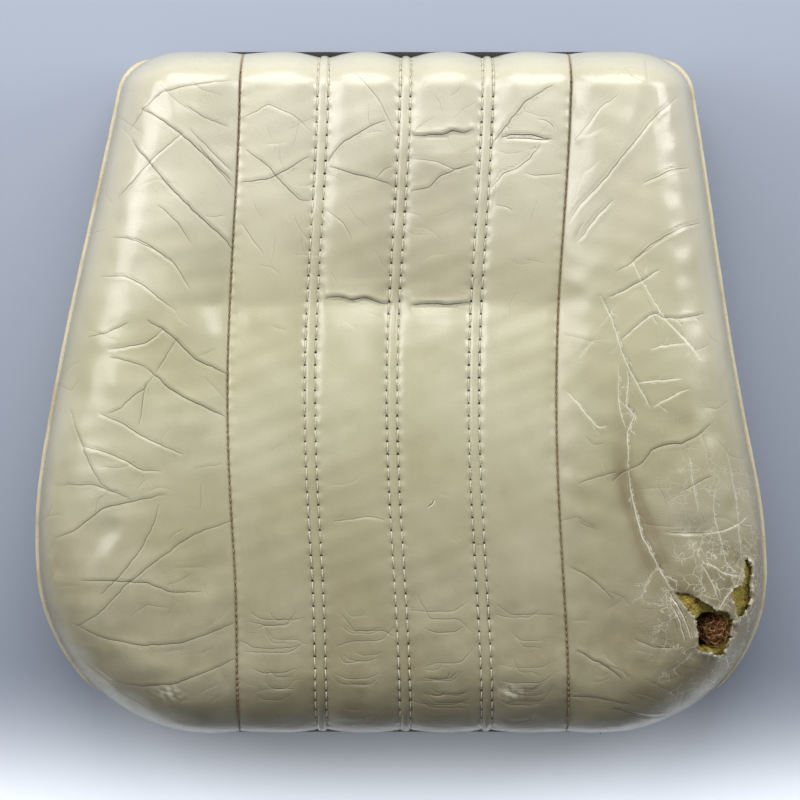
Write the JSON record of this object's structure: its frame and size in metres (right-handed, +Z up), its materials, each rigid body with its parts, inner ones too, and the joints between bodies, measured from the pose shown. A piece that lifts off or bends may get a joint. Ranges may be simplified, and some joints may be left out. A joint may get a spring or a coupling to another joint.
{
  "type": "chair seat pad",
  "caption": "Sprung seat cushion with a fluted leather insert, piped side bolsters, a wide round front and a narrower rear.",
  "frame": {"origin": "middle of the flat underside, below the middle of the cushion's box", "axes": "+Z up out of the seating face, -Y towards the wide round front edge, +X to the right of someone facing the rear edge"},
  "size_m": [0.5244, 0.49, 0.1289],
  "materials": {
    "cover_leather": "worn, semi-gloss",
    "piping_leather": "satin",
    "side_cloth": "matt leathercloth",
    "black_cloth": "matt woven",
    "foam": "aged open-cell foam",
    "rubberised_hair": "matted curled fibre",
    "hessian": "coarse open weave",
    "cotton": "woven",
    "spring_steel": "drawn wire",
    "base_steel": "satin black"
  },
  "bodies": {
    "root": {"border_wire": "spring_steel", "front_edge_foam": "foam", "front_rail": "base_steel", "front_skirt": "cover_leather", "hair_pad": "rubberised_hair", "hessian": "hessian", "insert_foam": "foam", "insert_panel": "cover_leather", "left_bolster_foam": "foam", "left_bolster_panel": "cover_leather", "left_boxing": "side_cloth", "left_edge_foam": "foam", "left_hair_bolster": "rubberised_hair", "left_listing_rod": "spring_steel", "left_listing_sleeve": "cotton", "left_piping": "piping_leather", "left_piping_cord": "cotton", "left_rail": "base_steel", "rear_edge_foam": "foam", "rear_rail": "base_steel", "rear_skirt": "black_cloth", "right_bolster_foam": "foam", "right_bolster_panel": "cover_leather", "right_boxing": "side_cloth", "right_edge_foam": "foam", "right_hair_bolster": "rubberised_hair", "right_listing_rod": "spring_steel", "right_listing_sleeve": "cotton", "right_piping": "piping_leather", "right_piping_cord": "cotton", "right_rail": "base_steel", "spring_1_1": "spring_steel", "spring_1_2": "spring_steel", "spring_1_3": "spring_steel", "spring_1_4": "spring_steel", "spring_2_1": "spring_steel", "spring_2_2": "spring_steel", "spring_2_3": "spring_steel", "spring_2_4": "spring_steel", "spring_3_1": "spring_steel", "spring_3_2": "spring_steel", "spring_3_3": "spring_steel", "spring_3_4": "spring_steel", "strap_1": "base_steel", "strap_2": "base_steel", "strap_3": "base_steel", "underlining": "black_cloth"}
  },
  "joints": []
}
